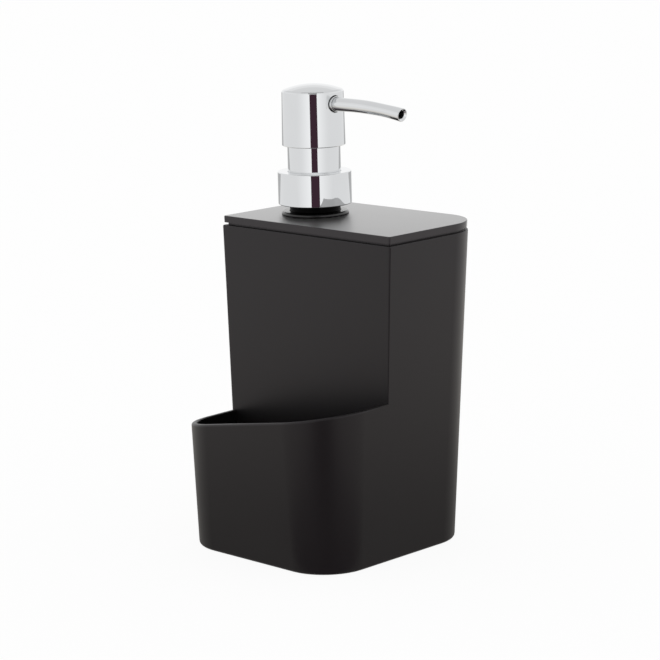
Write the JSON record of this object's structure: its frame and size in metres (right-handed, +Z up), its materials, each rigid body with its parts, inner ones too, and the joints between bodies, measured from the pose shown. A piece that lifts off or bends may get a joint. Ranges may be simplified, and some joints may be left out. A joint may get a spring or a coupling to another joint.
{
  "type": "soap pump caddy",
  "caption": "Moulded soap caddy: tapered soap tank with a lift-off lid and a chrome lotion pump, and an open sponge pocket with a sloping rim in front.",
  "frame": {"origin": "on the table, under the middle of the caddy's outline", "axes": "+Z up, +X along the tank's front face towards its higher rim end, the sponge pocket towards -Y"},
  "size_m": [0.108, 0.1094, 0.2132],
  "materials": {
    "body_black": "satin black moulded plastic with a very fine even texture",
    "lid_black": "satin black moulded plastic, flat top",
    "neck_black": "glossy black moulded plastic",
    "closure_black": "plain black moulded plastic",
    "chrome": "bright chrome plating",
    "pump_natural": "milky natural polypropylene",
    "piston_soft": "soft natural polyethylene",
    "seal": "pale soft foam seal",
    "steel": "drawn stainless steel",
    "tube_clear": "milky extruded polyethylene tube"
  },
  "bodies": {
    "caddy": {"caddy_body": "body_black"},
    "lid": {"lid": "lid_black", "neck_bush": "neck_black", "neck_gasket": "seal"},
    "pump_unit": {"pump_chamber": "pump_natural", "chaplet": "pump_natural", "spring_seat": "pump_natural", "return_spring": "steel", "dip_tube": "tube_clear"},
    "collar": {"closure": "closure_black", "collar_cover": "chrome", "guide_sleeve": "chrome"},
    "plunger": {"piston_stem": "pump_natural", "stem_plug": "pump_natural"},
    "piston": {"piston_cup": "piston_soft"},
    "ball": {"inlet_ball": "steel"},
    "head": {"head_shell": "chrome", "head_core": "pump_natural", "spout_tube": "chrome", "spout_ring": "chrome"}
  },
  "joints": [
    {"name": "lid_lift", "type": "slide", "parent": "caddy", "child": "lid", "axis": [0, 0, 1], "range_m": [0, 0.16]},
    {"name": "pump_rise", "type": "slide", "parent": "lid", "child": "pump_unit", "axis": [0, 0, 1], "range_m": [0, 0.00634]},
    {"name": "collar_turn", "type": "hinge", "parent": "pump_unit", "child": "collar", "pos_m": [-0.02225, 0.0186, 0], "axis": [0, 0, 1], "range_deg": [0, 540]},
    {"name": "head_press", "type": "slide", "parent": "pump_unit", "child": "plunger", "axis": [0, 0, -1], "range_m": [0, 0.0115], "stiffness_N_per_m": 900, "springref_m": -0.008, "deforming": ["return_spring"]},
    {"name": "head_swivel", "type": "hinge", "parent": "plunger", "child": "head", "pos_m": [-0.02225, 0.0186, 0], "axis": [0, 0, 1], "continuous": true},
    {"name": "piston_float", "type": "slide", "parent": "plunger", "child": "piston", "axis": [0, 0, 1], "range_m": [0, 0.001]},
    {"name": "ball_lift", "type": "slide", "parent": "pump_unit", "child": "ball", "axis": [0, 0, 1], "range_m": [0, 0.0015]}
  ],
  "couplings": [
    {"joint": "pump_rise", "follows": "collar_turn", "m_per_rad": 0.00067322}
  ]
}
